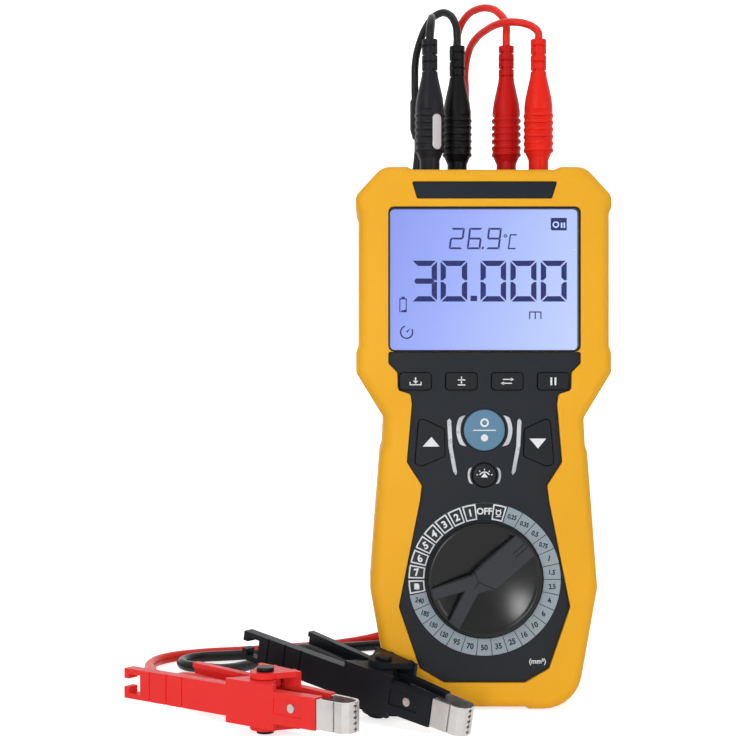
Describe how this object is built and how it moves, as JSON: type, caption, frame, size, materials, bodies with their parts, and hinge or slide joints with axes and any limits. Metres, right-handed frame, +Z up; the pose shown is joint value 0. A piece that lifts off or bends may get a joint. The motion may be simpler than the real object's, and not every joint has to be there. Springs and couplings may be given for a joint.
{
  "type": "cable length tester",
  "caption": "Handheld meter with a lit display, keys, a rotary selector and a tilt stand, on test leads with shrouded plugs and spring clips",
  "frame": {"origin": "on the standing surface, under the middle of the meter's own box, leads and clips left out", "axes": "+X to the right of the face, +Y from the face to the back, +Z up"},
  "size_m": [0.2167, 0.2085, 0.3191],
  "materials": {
    "yellow_plastic": "satin moulded",
    "dark_plastic": "fine matt",
    "black_plastic": "satin moulded",
    "red_plastic": "satin moulded",
    "plate_plastic": "matt",
    "window": "clear",
    "display": "lit",
    "blue_plastic": "satin",
    "grey_rubber": "matt",
    "ring_plastic": "gloss",
    "white_plastic": "satin",
    "board": "satin",
    "cell_sleeve": "gloss",
    "contact_brass": "bright",
    "bright_steel": "bright",
    "black_rubber": "satin",
    "red_rubber": "satin"
  },
  "bodies": {
    "meter": {"front_case": "yellow_plastic", "rear_case": "yellow_plastic", "face_panel": "dark_plastic", "name_plate": "plate_plastic", "display_frame": "black_plastic", "display_window": "window", "lcd_module": "display", "keypad_mat": "grey_rubber", "dial_ring": "ring_plastic", "main_board": "board", "battery_tray": "black_plastic", "batteries": "cell_sleeve", "battery_contacts": "bright_steel", "battery_cover": "dark_plastic", "case_screws": "bright_steel", "stand_pin": "bright_steel", "socket_plate": "black_plastic", "black_sockets": "black_plastic", "red_sockets": "red_plastic", "socket_contacts": "contact_brass", "black_outer_plug": "black_plastic", "black_inner_plug": "black_plastic", "red_inner_plug": "red_plastic", "red_outer_plug": "red_plastic", "plug_pins": "bright_steel", "black_outer_tail": "black_rubber", "black_inner_tail": "black_rubber", "red_inner_tail": "red_rubber", "red_outer_tail": "red_rubber", "black_splitter": "black_rubber", "red_splitter": "red_rubber", "black_drop": "black_rubber", "black_coil": "black_rubber", "black_run": "black_rubber", "red_drop": "red_rubber", "red_coil": "red_rubber", "red_run": "red_rubber", "black_fixed_handle": "black_plastic", "black_fixed_jaw": "bright_steel", "black_pivot_pin": "black_plastic", "black_clip_spring": "bright_steel", "red_fixed_handle": "red_plastic", "red_fixed_jaw": "bright_steel", "red_pivot_pin": "black_plastic", "red_clip_spring": "bright_steel"},
    "selector": {"selector_knob": "black_plastic", "selector_rotor": "white_plastic"},
    "memory_button": {"memory_key": "dark_plastic"},
    "calibrate_button": {"calibrate_key": "dark_plastic"},
    "units_button": {"units_key": "dark_plastic"},
    "hold_button": {"hold_key": "dark_plastic"},
    "up_button": {"up_key": "dark_plastic"},
    "down_button": {"down_key": "dark_plastic"},
    "material_button": {"material_key": "blue_plastic"},
    "backlight_button": {"backlight_key": "dark_plastic"},
    "stand": {"tilt_stand": "dark_plastic"},
    "black_lever": {"black_moving_handle": "black_plastic", "black_moving_jaw": "bright_steel"},
    "red_lever": {"red_moving_handle": "red_plastic", "red_moving_jaw": "bright_steel"}
  },
  "joints": [
    {"name": "selector_turn", "type": "hinge", "parent": "meter", "child": "selector", "pos_m": [0, -0.024, 0.0572], "axis": [0, 1, 0], "continuous": true},
    {"name": "memory_press", "type": "slide", "parent": "meter", "child": "memory_button", "axis": [0, 1, 0], "range_m": [0, 0.001], "stiffness_N_per_m": 800},
    {"name": "calibrate_press", "type": "slide", "parent": "meter", "child": "calibrate_button", "axis": [0, 1, 0], "range_m": [0, 0.001], "stiffness_N_per_m": 800},
    {"name": "units_press", "type": "slide", "parent": "meter", "child": "units_button", "axis": [0, 1, 0], "range_m": [0, 0.001], "stiffness_N_per_m": 800},
    {"name": "hold_press", "type": "slide", "parent": "meter", "child": "hold_button", "axis": [0, 1, 0], "range_m": [0, 0.001], "stiffness_N_per_m": 800},
    {"name": "up_press", "type": "slide", "parent": "meter", "child": "up_button", "axis": [0, 1, 0], "range_m": [0, 0.001], "stiffness_N_per_m": 800},
    {"name": "down_press", "type": "slide", "parent": "meter", "child": "down_button", "axis": [0, 1, 0], "range_m": [0, 0.001], "stiffness_N_per_m": 800},
    {"name": "material_press", "type": "slide", "parent": "meter", "child": "material_button", "axis": [0, 1, 0], "range_m": [0, 0.001], "stiffness_N_per_m": 800},
    {"name": "backlight_press", "type": "slide", "parent": "meter", "child": "backlight_button", "axis": [0, 1, 0], "range_m": [0, 0.001], "stiffness_N_per_m": 800},
    {"name": "stand_swing", "type": "hinge", "parent": "meter", "child": "stand", "pos_m": [0, 0.0258, 0.15], "axis": [1, 0, 0], "range_deg": [0, 35]},
    {"name": "black_clip_open", "type": "hinge", "parent": "meter", "child": "black_lever", "pos_m": [-0.0456, -0.0355, 0.014], "axis": [-0.1264, 0.1061, -0.9863], "range_deg": [0, 15], "stiffness_Nm_per_rad": 1, "deforming": ["black_clip_spring"]},
    {"name": "red_clip_open", "type": "hinge", "parent": "meter", "child": "red_lever", "pos_m": [-0.0928, -0.0585, 0.0135], "axis": [0, 0, -1], "range_deg": [0, 15], "stiffness_Nm_per_rad": 1, "deforming": ["red_clip_spring"]}
  ]
}
